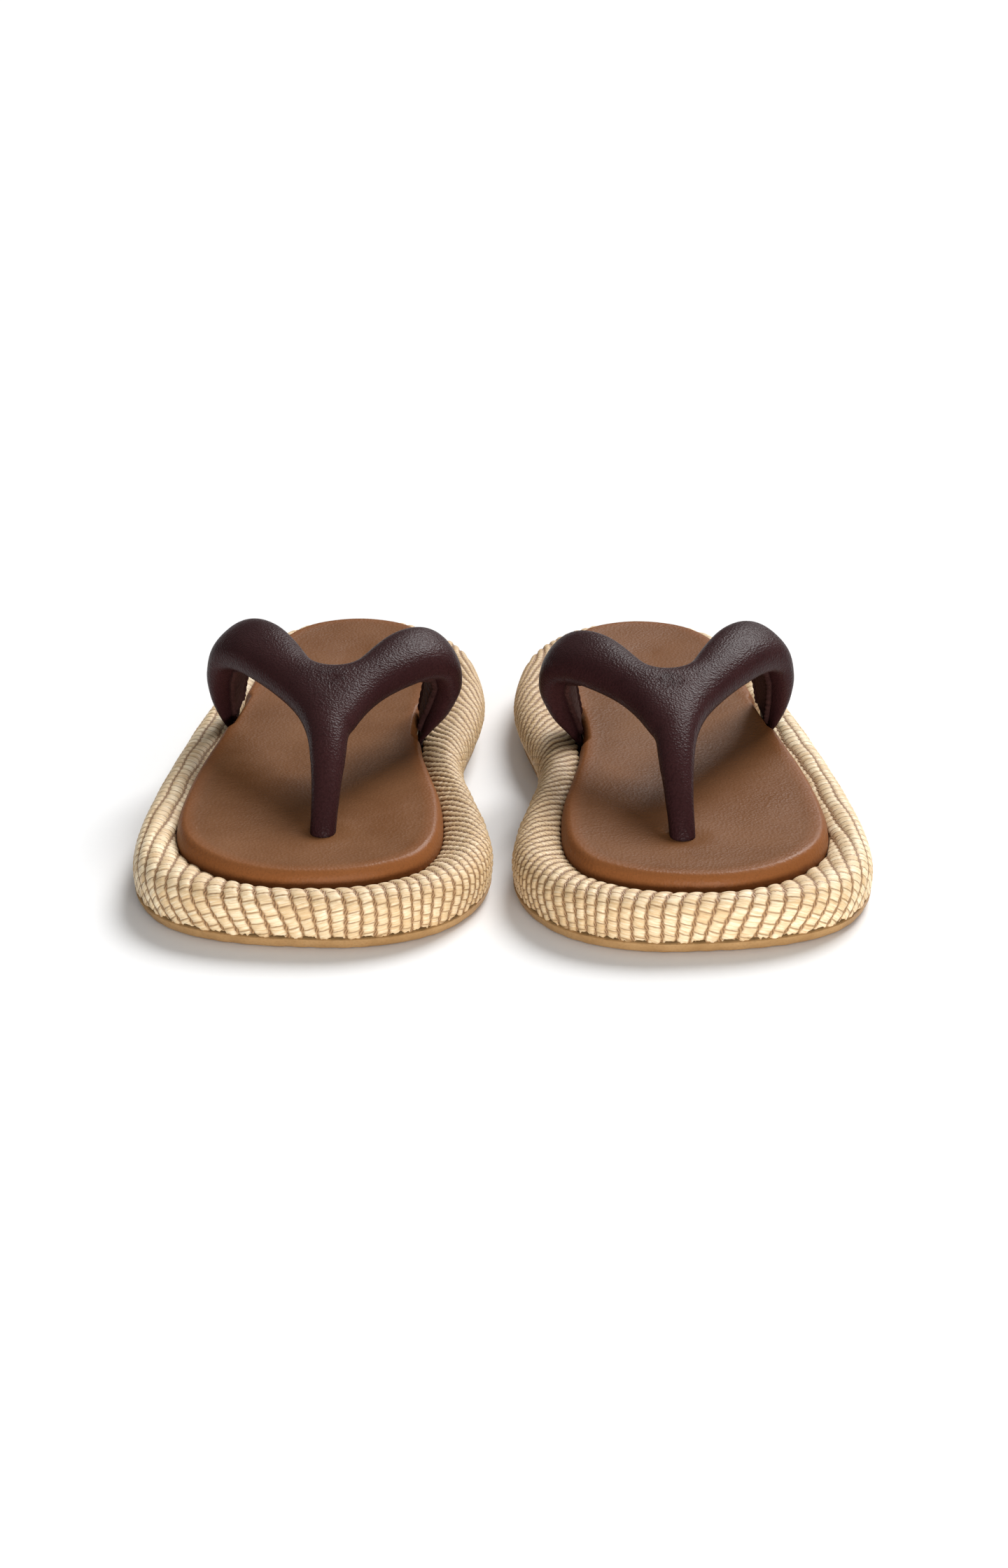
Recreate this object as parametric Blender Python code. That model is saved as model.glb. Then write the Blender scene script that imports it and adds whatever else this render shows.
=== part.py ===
"""A pair of padded thong sandals (flip flops) on raffia-covered platforms.

One routine builds a wearer's-right shoe in its own frame (toe towards -Y,
medial side towards +X) and is called again mirrored for the left shoe.
"""
import bpy
import bmesh
from math import cos, exp, sin
from mathutils import Vector

# ---------------------------------------------------------------- dimensions
MM = 0.001
GAP = 0.3                  # clearance kept between touching pieces
AROUND = 46                # points round every sole outline
SECTION = 12               # points round a strap section

OUTSOLE_T = 3.8            # rubber sheet
OUTSOLE_PROUD = 0.35       # how far the rubber stands outside the wrap
UNDERCUT = 2.6             # how far the wall slopes in under the medial waist
HEEL_LIFT = 2.7            # extra footbed height at the heel
RIM_LIFT = 0.6             # change of rim height at the heel
BOARD_Z0 = 12.6            # insole board, underside at the toe
BOARD_T = 1.4
FOAM_TOP = 18.6            # footbed foam, top at the toe
COVER_TOP = 20.3           # footbed leather, top at the toe
COVER_T = 1.3
WRAP_T = 1.3               # woven cover thickness
GROOVE = 1.0               # gap between footbed edge and woven cover
SHELL_T = 1.3              # strap leather
LINING_T = 1.2
LINING_SPAN = (3.6652, 5.7596)  # angles of the strap section the lining covers
POST_CORE_R = 2.3
ANCHOR_R = 11.0
ANCHOR_T = 2.0
TAB_T = 2.0

TOE_Y, HEEL_Y = -135.0, 131.0

# Where each shoe stands: centre x, y (mm) and toe-out angle (radians)
RIGHT_POSE = (-60.97, 3.94, -0.072)
LEFT_POSE = (59.63, 0.94, 0.090)

# Plan shape of the footbed and of the widest line of the platform (mm)
FOOTBED = [(7, -121.5), (20.5, -119), (32, -113.5), (41, -105.5), (45.6, -94), (46.8, -79), (44.4, -56),
           (39, -34), (33.8, -12), (31.8, 10), (32.2, 34), (33, 58), (31.5, 80), (26, 98),
           (16, 110.5), (2, 115.5), (-11, 113.5), (-22, 106), (-29.5, 92), (-33, 72), (-34.5, 48),
           (-36.2, 22), (-38.6, -6), (-41.2, -34), (-42.2, -60), (-41.2, -81), (-36.8, -96.5),
           (-28.5, -108), (-17.5, -116.5), (-5, -121)]
PLATFORM = [(6, -135), (24, -134), (40, -128.5), (53, -118), (61.3, -102), (63.6, -84), (60.5, -64),
            (54.5, -42), (49, -20), (47.8, -4), (49.5, 14), (51, 32), (50.5, 52), (47.5, 74), (41, 97),
            (30, 116), (15, 128), (-1, 131), (-17, 127.5), (-30, 116.5), (-39, 98), (-44, 76),
            (-47, 50), (-50, 24), (-52.2, -4), (-53.9, -32), (-55, -60), (-54.6, -84), (-51.3, -104),
            (-42.5, -120), (-29, -129.5), (-12, -134)]

# Woven rim section: share of the rim width, height above the floor at the toe
RIM = [(0.985, 4.1), (1.0, 8.0), (1.0, 11.0), (0.95, 14.4), (0.82, 16.8), (0.60, 17.9),
       (0.38, 17.5), (0.20, 16.3)]

# Strap stations: centre x, y, z, outward direction, width, thickness (mm)
LATERAL_ARM = [
    ((-37.0, 17.5, 15.0), (-1.0, -0.1, 0.0), 25.0, 2.4),
    ((-37.3, 17.3, 18.5), (-1.0, -0.1, 0.0), 26.0, 2.8),
    ((-38.3, 16.5, 24.5), (-1.0, -0.1, -0.1), 26.5, 5.5),
    ((-38.9, 14.5, 33.0), (-1.0, -0.1, 0.15), 26.5, 9.5),
    ((-37.8, 11.5, 42.0), (-0.88, -0.05, 0.45), 26.0, 12.0),
    ((-33.2, 6.5, 49.8), (-0.55, -0.1, 0.8), 25.5, 14.0),
    ((-25.2, -2.5, 52.6), (-0.22, -0.2, 0.95), 24.0, 14.5),
    ((-15.8, -15.5, 51.8), (-0.05, -0.3, 0.95), 21.5, 14.5),
    ((-7.0, -28.5, 49.6), (0.0, -0.35, 0.93), 19.0, 14.3),
    ((1.0, -41.5, 47.0), (0.0, -0.45, 0.9), 17.2, 14.0),
    ((6.0, -54.0, 43.5), (0.0, -0.55, 0.83), 15.5, 13.2),
    ((7.6, -65.0, 38.3), (0.0, -0.65, 0.75), 12.6, 11.8),
    ((8.1, -74.5, 31.8), (0.0, -0.8, 0.6), 10.2, 10.0),
    ((8.2, -81.3, 25.5), (0.0, -0.9, 0.4), 9.0, 9.0),
    ((8.1, -85.7, 19.2), (0.0, -1.0, 0.2), 8.6, 8.6),
    ((8.0, -87.0, 14.4), (0.0, -1.0, 0.1), 8.4, 8.4),
]
MEDIAL_ARM = [
    ((31.3, 11.0, 15.0), (1.0, -0.02, 0.0), 25.0, 2.4),
    ((31.8, 11.0, 18.5), (1.0, -0.02, -0.1), 26.0, 2.8),
    ((34.4, 10.5, 24.5), (1.0, -0.05, -0.3), 26.5, 5.5),
    ((38.4, 9.0, 33.0), (1.0, -0.1, -0.05), 26.5, 9.5),
    ((40.4, 6.5, 42.3), (0.88, -0.05, 0.45), 26.0, 12.0),
    ((37.4, 1.5, 50.0), (0.55, -0.1, 0.8), 25.5, 14.0),
    ((30.6, -7.0, 52.6), (0.22, -0.2, 0.95), 24.0, 14.5),
    ((23.2, -18.0, 51.8), (0.05, -0.3, 0.95), 21.5, 14.5),
    ((16.2, -29.5, 49.7), (0.0, -0.35, 0.93), 19.0, 14.3),
    ((11.2, -41.5, 47.2), (0.0, -0.45, 0.9), 17.2, 13.8),
    ((8.8, -52.5, 44.2), (0.0, -0.55, 0.83), 14.5, 12.0),
]

for old in list(bpy.data.objects):
    bpy.data.objects.remove(old, do_unlink=True)


# ------------------------------------------------------------------- helpers
def spline(points, t, closed):
    """Catmull-Rom point on a list of equal-length tuples, t in point units."""
    n = len(points)
    if closed:
        i = int(t) % n
        f = t - int(t)
        ids = [(i - 1) % n, i, (i + 1) % n, (i + 2) % n]
    else:
        i = min(int(t), n - 2)
        f = t - i
        ids = [max(i - 1, 0), i, i + 1, min(i + 2, n - 1)]
    a, b, c, d = [points[k] for k in ids]
    return [0.5 * (2 * b[k] + (c[k] - a[k]) * f + (2 * a[k] - 5 * b[k] + 4 * c[k] - d[k]) * f * f
                   + (3 * b[k] - a[k] - 3 * c[k] + d[k]) * f ** 3) for k in range(len(a))]


def outline(points, count):
    """Evenly spaced points round a closed plan shape."""
    fine = [spline(points, len(points) * i / 1200.0, True) for i in range(1200)]
    length = [0.0]
    for i in range(1200):
        a, b = fine[i], fine[(i + 1) % 1200]
        length.append(length[-1] + ((a[0] - b[0]) ** 2 + (a[1] - b[1]) ** 2) ** 0.5)
    out, k = [], 0
    for j in range(count):
        want = length[-1] * j / count
        while length[k + 1] < want:
            k += 1
        f = (want - length[k]) / (length[k + 1] - length[k])
        a, b = fine[k], fine[(k + 1) % 1200]
        out.append((a[0] + (b[0] - a[0]) * f, a[1] + (b[1] - a[1]) * f))
    return out


def outward(points):
    """Unit outward normal at every point of a counter-clockwise plan shape."""
    out = []
    for i, _ in enumerate(points):
        a, b = points[i - 1], points[(i + 1) % len(points)]
        t = Vector((b[0] - a[0], b[1] - a[1])).normalized()
        out.append(Vector((t.y, -t.x)))
    return out


def reach(point, direction, shape):
    """Distance from a point along a direction to a closed plan shape."""
    best = 1e9
    for i, a in enumerate(shape):
        b = shape[(i + 1) % len(shape)]
        ex, ey = b[0] - a[0], b[1] - a[1]
        det = direction.x * ey - direction.y * ex
        if abs(det) < 1e-9:
            continue
        ax, ay = a[0] - point[0], a[1] - point[1]
        t = (ax * ey - ay * ex) / det
        s = (ax * direction.y - ay * direction.x) / det
        if t > 0 and -1e-6 <= s <= 1 + 1e-6:
            best = min(best, t)
    return best


def lift(y):
    """Extra height of the footbed at a given place along the shoe."""
    return HEEL_LIFT * (y - TOE_Y) / (HEEL_Y - TOE_Y)


BED = outline(FOOTBED, AROUND)
NORMAL = outward(BED)
FINE_PLATFORM = outline(PLATFORM, 300)
RIM_W = [reach(p, n, FINE_PLATFORM) for p, n in zip(BED, NORMAL)]
TUCK = [UNDERCUT * max(0.0, n.x) * exp(-((p[1] - 20.0) / 50.0) ** 2) for p, n in zip(BED, NORMAL)]


def ring(distance, height, lifted=True):
    """One loop of points: distance outward from the footbed edge, height."""
    out = []
    for i, (p, n) in enumerate(zip(BED, NORMAL)):
        d = distance[i] if isinstance(distance, list) else distance
        h = height[i] if isinstance(height, list) else height
        x, y = p[0] + n.x * d, p[1] + n.y * d
        rise = lift(p[1]) * RIM_LIFT / HEEL_LIFT if lifted else 0.0
        out.append(Vector((x, y, h + rise)))
    return out


def level_ring(distance, height):
    """One loop on a plane that rises with the heel lift."""
    out = ring(distance, 0.0, False)
    return [Vector((v.x, v.y, height + lift(v.y))) for v in out]


def offset_profile(points, amount):
    """A section polyline moved inward (to the left of its direction)."""
    out = []
    for i, p in enumerate(points):
        a, b = points[max(i - 1, 0)], points[min(i + 1, len(points) - 1)]
        t = Vector((b[0] - a[0], b[1] - a[1])).normalized()
        out.append((p[0] - t.y * amount, p[1] + t.x * amount))
    return out


def rim_profile(width, tuck, inset):
    """Section of the rim for one rim width and undercut, moved inward by an inset."""
    pts = [(u * width - tuck * max(0.0, (11.0 - z) / 7.0), z) for u, z in RIM[:3]]
    pts += [(u * width, z) for u, z in RIM[3:]] + [(GROOVE, 15.0), (GROOVE, BOARD_Z0)]
    pts = offset_profile(pts, inset)
    pts[0] = (pts[0][0], OUTSOLE_T + GAP)
    pts[-1] = (GROOVE + inset, BOARD_Z0)
    return pts


def rim_rings(inset):
    sections = [rim_profile(w, t, inset) for w, t in zip(RIM_W, TUCK)]
    rings = []
    for k in range(len(sections[0])):
        d = [s[k][0] for s in sections]
        z = [s[k][1] for s in sections]
        if k == 0:
            rings.append(ring(d, OUTSOLE_T + GAP, False))
        else:
            lifted = ring(d, z)
            share = min(1.0, (k + 0.0) / 4.0)
            flat = ring(d, z, False)
            rings.append([a * (1 - share) + b * share for a, b in zip(flat, lifted)])
    rings[-1] = [Vector((v.x, v.y, BOARD_Z0 + lift(v.y))) for v in rings[-1]]
    return rings


def place(v, side):
    """Shoe frame (mm) to world (m); side is +1 for right, -1 for left."""
    x0, y0, turn = RIGHT_POSE if side > 0 else LEFT_POSE
    x, y = v[0] * side, v[1]
    return Vector(((x0 + cos(turn) * x - sin(turn) * y) * MM,
                   (y0 + sin(turn) * x + cos(turn) * y) * MM, v[2] * MM))


def finish_mesh(name, bm, side):
    for v in bm.verts:
        v.co = place(v.co, side)
    bmesh.ops.recalc_face_normals(bm, faces=bm.faces)
    if bm.calc_volume(signed=True) < 0:
        bmesh.ops.reverse_faces(bm, faces=bm.faces)
    mesh = bpy.data.meshes.new(name)
    bm.to_mesh(mesh)
    bm.free()
    obj = bpy.data.objects.new(name, mesh)
    bpy.context.scene.collection.objects.link(obj)
    return obj


def loft(name, rings, side, wrap=False):
    """Closed body through a run of loops; ends capped, or joined up."""
    bm = bmesh.new()
    loops = [[bm.verts.new(v) for v in r] for r in rings]
    n = len(rings[0])
    pairs = list(zip(loops, loops[1:])) + ([(loops[-1], loops[0])] if wrap else [])
    for a, b in pairs:
        for i in range(n):
            j = (i + 1) % n
            bm.faces.new((a[i], a[j], b[j], b[i]))
    if not wrap:
        bm.faces.new(loops[0][::-1])
        bm.faces.new(loops[-1])
    return finish_mesh(name, bm, side)


def strap_rings(stations, grow, first=0.0, last=None, count=22, span=None):
    """Strap sections along an arm; grow moves the surface out (or in).

    A span of angles (radians) gives only that part of each section.
    """
    flat = [tuple(c) + tuple(n) + (w, t) for c, n, w, t in stations]
    last = len(flat) - 1 if last is None else last
    rings = []
    for k in range(count):
        t = first + (last - first) * k / (count - 1)
        s = spline(flat, t, False)
        before = spline(flat, max(t - 0.05, 0.0), False)
        after = spline(flat, min(t + 0.05, len(flat) - 1), False)
        along = (Vector(after[:3]) - Vector(before[:3])).normalized()
        out = Vector(s[3:6])
        out = (out - along * out.dot(along)).normalized()
        wide = along.cross(out)
        w, h = s[6] / 2 + grow, max(s[7] / 2 + grow, 0.35)
        loop = []
        angles = [6.2831853 * i / SECTION for i in range(SECTION)]
        if span:
            angles = [span[0] + (span[1] - span[0]) * i / 4 for i in range(5)]
        for a in angles:
            ca, sa = cos(a), sin(a)
            flatten = 0.80 if sa < 0 else 1.0
            power = 0.78
            x = w * (abs(ca) ** power) * (1 if ca >= 0 else -1)
            z = h * flatten * (abs(sa) ** power) * (1 if sa >= 0 else -1)
            loop.append(Vector(s[:3]) + wide * x + out * z)
        rings.append(loop)
    return rings


def extend(rings, start=0.0, end=0.0):
    """Push the first or last loop further along the run."""
    out = [list(r) for r in rings]
    if start:
        d = (sum((v for v in rings[0]), Vector()) - sum((v for v in rings[1]), Vector())).normalized()
        out[0] = [v + d * start for v in rings[0]]
    if end:
        d = (sum((v for v in rings[-1]), Vector()) - sum((v for v in rings[-2]), Vector())).normalized()
        out[-1] = [v + d * end for v in rings[-1]]
    return out


def combine(target, tool, operation):
    """Apply an exact boolean and remove the tool."""
    tool.hide_render = True
    tool.display_type = 'WIRE'
    mod = target.modifiers.new("cut", 'BOOLEAN')
    mod.operation = operation
    mod.solver = 'EXACT'
    mod.object = tool
    deps = bpy.context.evaluated_depsgraph_get()
    result = bpy.data.meshes.new_from_object(target.evaluated_get(deps))
    target.modifiers.clear()
    target.data = result
    bpy.data.objects.remove(tool, do_unlink=True)
    return target


def cylinder(name, x, y, z0, z1, radius, side, count=20, top=None):
    """Round post or disc with a vertical axis; top is an optional end centre."""
    tx, ty = top if top else (x, y)
    rings = [[Vector((cx + radius * cos(6.2831853 * i / count),
                      cy + radius * sin(6.2831853 * i / count), z)) for i in range(count)]
             for cx, cy, z in ((x, y, z0), (tx, ty, z1))]
    return loft(name, rings, side)


def slab(name, x0, x1, y0, y1, z0, z1, side):
    rings = [[Vector((x0, y0, z)), Vector((x1, y0, z)), Vector((x1, y1, z)), Vector((x0, y1, z))]
             for z in (z0, z1)]
    return loft(name, rings, side)


def paint(obj, name, rgb, roughness):
    mat = bpy.data.materials.get(name) or bpy.data.materials.new(name)
    mat.use_nodes = True
    shader = mat.node_tree.nodes["Principled BSDF"]
    shader.inputs["Base Color"].default_value = (rgb[0], rgb[1], rgb[2], 1.0)
    shader.inputs["Roughness"].default_value = roughness
    obj.data.materials.clear()
    obj.data.materials.append(mat)
    for p in obj.data.polygons:
        p.use_smooth = True
        p.material_index = 0
    if hasattr(obj.data, "set_sharp_from_angle"):
        obj.data.set_sharp_from_angle(angle=0.7)


# ------------------------------------------------------------------ one shoe
def strap_body(name, side, grow, start=0.0, end=0.0):
    """The whole Y: lateral arm down into the post, joined by the medial arm."""
    main = loft(name, extend(strap_rings(LATERAL_ARM, grow, count=21), start, end), side)
    other = loft(name + "_tool", extend(strap_rings(MEDIAL_ARM, grow, count=14), start, 0.0), side)
    return combine(main, other, 'UNION')


def cut_for_strap(obj, side):
    """Clearance for the strap ends and the toe post through a sole piece."""
    for arm, last in ((LATERAL_ARM, 2.2), (MEDIAL_ARM, 2.2)):
        rings = extend(strap_rings(arm, GAP + 0.05, 0.0, last, 8), 1.0, 0.0)
        combine(obj, loft("tool", rings, side), 'DIFFERENCE')
    rings = extend(strap_rings(LATERAL_ARM, GAP + 0.05, 13.0, 15.0, 4), 0.0, 8.0)
    return combine(obj, loft("tool", rings, side), 'DIFFERENCE')


def build_shoe(side):
    pre = "right_" if side > 0 else "left_"
    nodes = {}

    # Rubber sheet the shoe stands on, with a worn-soft lower edge
    edge = [w * 0.985 - t + OUTSOLE_PROUD for w, t in zip(RIM_W, TUCK)]
    low = [e - 1.8 for e in edge]
    mid = [e - 0.5 for e in edge]
    nodes["outsole"] = loft(pre + "outsole", [
        ring(low, 0.0, False), ring(mid, 1.2, False), ring(edge, OUTSOLE_T, False)], side)

    # Woven cover: wall, pillow rim and the turn down into the groove
    outer = rim_rings(0.0)
    inner = rim_rings(WRAP_T)
    nodes["raffia_wrap"] = loft(pre + "raffia_wrap", outer + inner[::-1], side, wrap=True)

    # Foam platform under it, with a shallow tray for the footbed
    core = rim_rings(WRAP_T + GAP)
    core = core[:-1] + [ring(GROOVE + WRAP_T + GAP, BOARD_Z0 - GAP)]
    tray = level_ring(0.0, BOARD_Z0 - GAP)
    core[-1] = level_ring(GROOVE + WRAP_T + GAP, BOARD_Z0 - GAP)
    nodes["midsole_core"] = loft(pre + "midsole_core", core + [tray], side)

    # Stiff board under the footbed
    nodes["insole_board"] = loft(pre + "insole_board", [
        level_ring(-0.2, BOARD_Z0), level_ring(-0.2, BOARD_Z0 + BOARD_T)], side)

    # Footbed foam and the leather drawn over its edge
    seat = BOARD_Z0 + BOARD_T + GAP
    in_d = COVER_T + GAP
    nodes["footbed_foam"] = loft(pre + "footbed_foam", [
        level_ring(-in_d, seat), level_ring(-in_d, 16.2), level_ring(-in_d - 1.0, 17.6),
        level_ring(-in_d - 3.0, FOAM_TOP - 0.1), level_ring(-in_d - 6.0, FOAM_TOP)], side)
    skin_out = [(0.0, seat), (0.0, 16.3), (-0.5, 17.8), (-1.7, 19.2), (-3.6, 20.1), (-6.5, COVER_TOP)]
    skin_in = [(-in_d + GAP, seat), (-in_d + GAP, 16.3), (-in_d - 0.6, 17.8),
               (-in_d - 2.6, FOAM_TOP + GAP - 0.1), (-in_d - 6.0, FOAM_TOP + GAP)]
    bm = bmesh.new()
    rows_out = [[bm.verts.new(v) for v in level_ring(d, z)] for d, z in skin_out]
    rows_in = [[bm.verts.new(v) for v in level_ring(d, z)] for d, z in skin_in]
    for rows in (rows_out, rows_in):
        for a, b in zip(rows, rows[1:]):
            for i in range(AROUND):
                bm.faces.new((a[i], a[(i + 1) % AROUND], b[(i + 1) % AROUND], b[i]))
        bm.faces.new(rows[-1])
    for i in range(AROUND):
        j = (i + 1) % AROUND
        bm.faces.new((rows_out[0][i], rows_out[0][j], rows_in[0][j], rows_in[0][i]))
    nodes["footbed_cover"] = finish_mesh(pre + "footbed_cover", bm, side)

    for key in ("raffia_wrap", "insole_board", "footbed_foam", "footbed_cover"):
        cut_for_strap(nodes[key], side)

    # Strap: leather tube, foam inside it, lining strip on the foot side
    shell = strap_body(pre + "strap_shell", side, 0.0)
    hollow = strap_body(pre + "hollow", side, -SHELL_T, 1.0, 1.0)
    nodes["strap_shell"] = combine(shell, hollow, 'DIFFERENCE')

    pad = loft(pre + "strap_padding", strap_rings(LATERAL_ARM, -SHELL_T - 4 * GAP, 2.25, 11.25, 13), side)
    step = (len(MEDIAL_ARM) - 1) / 13.0
    other = loft("tool", strap_rings(MEDIAL_ARM, -SHELL_T - 4 * GAP, 3 * step, 12 * step, 10), side)
    nodes["strap_padding"] = combine(pad, other, 'UNION')

    for key, arm, first, last, count in (("strap_lining_lateral", LATERAL_ARM, 2.25, 7.5, 8),
                                         ("strap_lining_medial", MEDIAL_ARM, 3 * step, 9 * step, 7)):
        near = strap_rings(arm, 1.5 * GAP, first, last, count, LINING_SPAN)
        far = strap_rings(arm, 1.5 * GAP + LINING_T, first, last, count, LINING_SPAN)
        rings = [a + b[::-1] for a, b in zip(near, far)]
        nodes[key] = loft(pre + key, rings, side)

    # Toe post: firm core, held by a disc under the board
    base_x, base_y = 8.0, -87.0
    low = BOARD_Z0 + lift(base_y) - GAP
    core_rings = strap_rings(LATERAL_ARM, -SHELL_T - 2 * GAP, 12.0, 15.0, 5)
    core_rings.append([v + Vector((0, 0, low - ANCHOR_T - 0.6 - v.z)) for v in core_rings[-1]])
    nodes["toe_post_core"] = loft(pre + "toe_post_core", core_rings, side)
    disc = cylinder(pre + "toe_post_anchor", base_x, base_y, low - ANCHOR_T, low, ANCHOR_R, side, 28)
    hole = cylinder("tool", base_x, base_y, low - 6, low + 3, POST_CORE_R + GAP + 0.4, side, 16)
    nodes["toe_post_anchor"] = combine(disc, hole, 'DIFFERENCE')

    # Strap ends turned in and glued under the board
    for key, arm, sgn in (("strap_tab_lateral", LATERAL_ARM, 1), ("strap_tab_medial", MEDIAL_ARM, -1)):
        x, y, _ = arm[0][0]
        top = BOARD_Z0 + lift(y - 12.0) - GAP - 0.05
        x0, x1 = sorted((x - sgn * 1.2, x + sgn * 16.0))
        nodes[key] = slab(pre + key, x0, x1, y - 11.5, y + 11.5, top - TAB_T, top, side)

    # Room in the foam platform for the disc, the post end and the strap ends
    pockets = [cylinder("tool", base_x, base_y, low - ANCHOR_T - GAP, low + 5, ANCHOR_R + GAP, side, 28),
               cylinder("tool", base_x, base_y, low - ANCHOR_T - 1.6, low + 5, POST_CORE_R + 1.4, side, 16)]
    for arm, sgn in ((LATERAL_ARM, 1), (MEDIAL_ARM, -1)):
        x, y, _ = arm[0][0]
        top = BOARD_Z0 + lift(y - 12.0) - GAP - 0.05
        x0, x1 = sorted((x - sgn * (1.2 + GAP), x + sgn * (16.0 + GAP)))
        pockets.append(slab("tool", x0, x1, y - 11.5 - GAP, y + 11.5 + GAP, top - TAB_T - GAP, top + 8, side))
    for tool in pockets:
        combine(nodes["midsole_core"], tool, 'DIFFERENCE')
    cut_for_strap(nodes["midsole_core"], side)

    looks = {
        "outsole": ((0.50, 0.28, 0.09), 0.65), "raffia_wrap": ((0.66, 0.49, 0.28), 0.7),
        "midsole_core": ((0.75, 0.72, 0.65), 0.9), "insole_board": ((0.45, 0.36, 0.26), 0.9),
        "footbed_foam": ((0.80, 0.74, 0.55), 0.9), "footbed_cover": ((0.25, 0.10, 0.045), 0.5),
        "strap_shell": ((0.028, 0.010, 0.010), 0.4), "strap_padding": ((0.80, 0.78, 0.72), 0.9),
        "strap_lining_lateral": ((0.07, 0.025, 0.022), 0.5),
        "strap_lining_medial": ((0.07, 0.025, 0.022), 0.5), "toe_post_core": ((0.10, 0.07, 0.06), 0.6),
        "toe_post_anchor": ((0.08, 0.08, 0.08), 0.5), "strap_tab_lateral": ((0.05, 0.02, 0.02), 0.5),
        "strap_tab_medial": ((0.05, 0.02, 0.02), 0.5)}
    for key, obj in nodes.items():
        rgb, rough = looks[key]
        paint(obj, pre + key, rgb, rough)


build_shoe(1)
build_shoe(-1)
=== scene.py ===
# %% [markdown]
# # A pair of padded thong sandals
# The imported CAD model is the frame: it fixes every size and place, and it knows which body each
# piece rides on. This notebook dresses it, piece by piece: crepe outsole, woven raffia cover,
# leather footbed, padded strap. Loading comes first, because every later cell measures from it.

# %% Load the frame
from math import cos, pi, radians, sin

import bpy
import numpy as np
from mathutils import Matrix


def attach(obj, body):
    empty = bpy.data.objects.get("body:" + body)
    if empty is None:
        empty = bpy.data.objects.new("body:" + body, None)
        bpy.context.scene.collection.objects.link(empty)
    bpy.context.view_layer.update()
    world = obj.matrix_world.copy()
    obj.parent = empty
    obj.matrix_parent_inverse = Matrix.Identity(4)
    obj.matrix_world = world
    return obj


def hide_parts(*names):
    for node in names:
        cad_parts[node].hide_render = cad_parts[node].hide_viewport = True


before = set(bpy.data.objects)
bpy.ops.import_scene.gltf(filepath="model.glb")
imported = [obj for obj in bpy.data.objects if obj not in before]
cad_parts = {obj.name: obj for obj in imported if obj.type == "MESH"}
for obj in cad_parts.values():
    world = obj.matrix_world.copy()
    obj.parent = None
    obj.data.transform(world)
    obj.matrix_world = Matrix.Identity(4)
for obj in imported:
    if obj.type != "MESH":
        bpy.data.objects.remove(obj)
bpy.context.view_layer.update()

# %% [markdown]
# Both shoes are one design, so each piece is modelled once, as a wearer's-right shoe with its toe
# towards -Y and its medial side towards +X, in millimetres. It is then copied for each foot, the
# left copy mirrored, and set down where the CAD has that shoe.

# %% Where the shoes stand, and their plan shapes
STANDS = {"right": (-60.97, 3.94, -0.072), "left": (59.63, 0.94, 0.090)}
FOOTBED = [(7, -121.5), (20.5, -119), (32, -113.5), (41, -105.5), (45.6, -94), (46.8, -79), (44.4, -56),
           (39, -34), (33.8, -12), (31.8, 10), (32.2, 34), (33, 58), (31.5, 80), (26, 98),
           (16, 110.5), (2, 115.5), (-11, 113.5), (-22, 106), (-29.5, 92), (-33, 72), (-34.5, 48),
           (-36.2, 22), (-38.6, -6), (-41.2, -34), (-42.2, -60), (-41.2, -81), (-36.8, -96.5),
           (-28.5, -108), (-17.5, -116.5), (-5, -121)]
PLATFORM = [(6, -135), (24, -134), (40, -128.5), (53, -118), (61.3, -102), (63.6, -84), (60.5, -64),
            (54.5, -42), (49, -20), (47.8, -4), (49.5, 14), (51, 32), (50.5, 52), (47.5, 74), (41, 97),
            (30, 116), (15, 128), (-1, 131), (-17, 127.5), (-30, 116.5), (-39, 98), (-44, 76),
            (-47, 50), (-50, 24), (-52.2, -4), (-53.9, -32), (-55, -60), (-54.6, -84), (-51.3, -104),
            (-42.5, -120), (-29, -129.5), (-12, -134)]
HEEL_LIFT = 2.7    # how much higher the footbed is at the heel than at the toe
RIM_LIFT = -0.4    # the same for the woven rim
UNDERCUT = 2.6     # how far the wall slopes in under the medial waist
TOE_Y, SOLE_LENGTH = -135.0, 266.0
MM = 0.001
rng = np.random.default_rng(7)


def lift(y):
    """How much higher the footbed is at y than at the toe, in mm."""
    return HEEL_LIFT * (y - TOE_Y) / SOLE_LENGTH


def smooth_curve(points, t, closed=False):
    """Catmull-Rom curve through rows of numbers; t is in rows."""
    p = np.asarray(points, float)
    n = len(p)
    t = np.asarray(t, float)
    i = np.floor(t).astype(int)
    i = i if closed else np.clip(i, 0, n - 2)
    f = (t - i)[:, None]
    pick = (lambda k: p[k % n]) if closed else (lambda k: p[np.clip(k, 0, n - 1)])
    a, b, c, d = pick(i - 1), pick(i), pick(i + 1), pick(i + 2)
    return 0.5 * (2 * b + (c - a) * f + (2 * a - 5 * b + 4 * c - d) * f ** 2
                  + (3 * b - a - 3 * c + d) * f ** 3)


def even_outline(points, count, start=0.0):
    """Evenly spaced points round a closed curve, and the row number of each."""
    t = start + np.linspace(0, len(points), 4001)
    fine = smooth_curve(points, t, True)
    run = np.concatenate([[0], np.cumsum(np.linalg.norm(np.diff(fine, axis=0), axis=1))])
    want = run[-1] * np.arange(count) / count
    rows = np.interp(want, run, t)
    return smooth_curve(points, rows, True), rows, run[-1]


def outward(loop):
    """Unit normals that point out of a plan loop."""
    along = np.roll(loop, -1, 0) - np.roll(loop, 1, 0)
    along /= np.linalg.norm(along, axis=1, keepdims=True)
    return np.stack([along[:, 1], -along[:, 0]], 1)


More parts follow.
